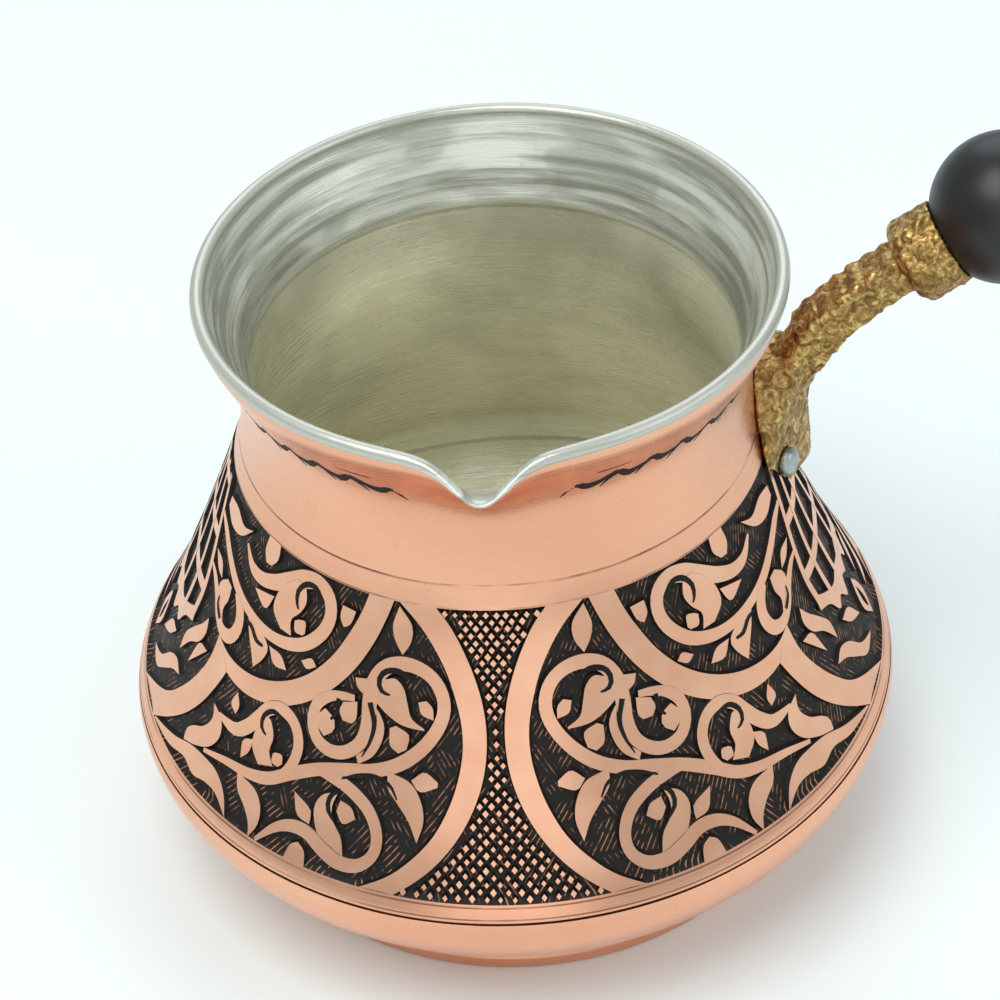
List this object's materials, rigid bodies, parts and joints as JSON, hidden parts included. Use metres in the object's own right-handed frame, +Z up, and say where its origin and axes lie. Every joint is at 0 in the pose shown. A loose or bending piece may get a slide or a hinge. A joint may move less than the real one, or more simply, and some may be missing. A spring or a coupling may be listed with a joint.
{
  "type": "turkish coffee pot cezve",
  "caption": "Small tinned copper coffee pot with a pinched spout, an engraved belly, a cast brass bracket riveted to its neck and a turned black wooden grip.",
  "frame": {"origin": "centre of the flat base, on the surface that the pot stands on", "axes": "+Z up along the pot's axis, +X towards the handle, the spout points close to -Y"},
  "size_m": [0.1948, 0.1012, 0.1376],
  "materials": {
    "copper": "satin copper, engraved and blackened in the cuts",
    "tin": "wiped hot tin, dull and slightly yellow",
    "cast_brass": "rough sand cast with rubbed high spots",
    "rivet": "dull",
    "black_wood": "satin black lacquer",
    "steel": "zinc plated"
  },
  "bodies": {
    "root": {"pot_body": "copper", "tin_lining": "tin", "handle_bracket": "cast_brass", "rivet_front": "rivet", "rivet_rear": "rivet", "grip": "black_wood", "grip_washer": "steel", "grip_screw": "steel"}
  },
  "joints": []
}
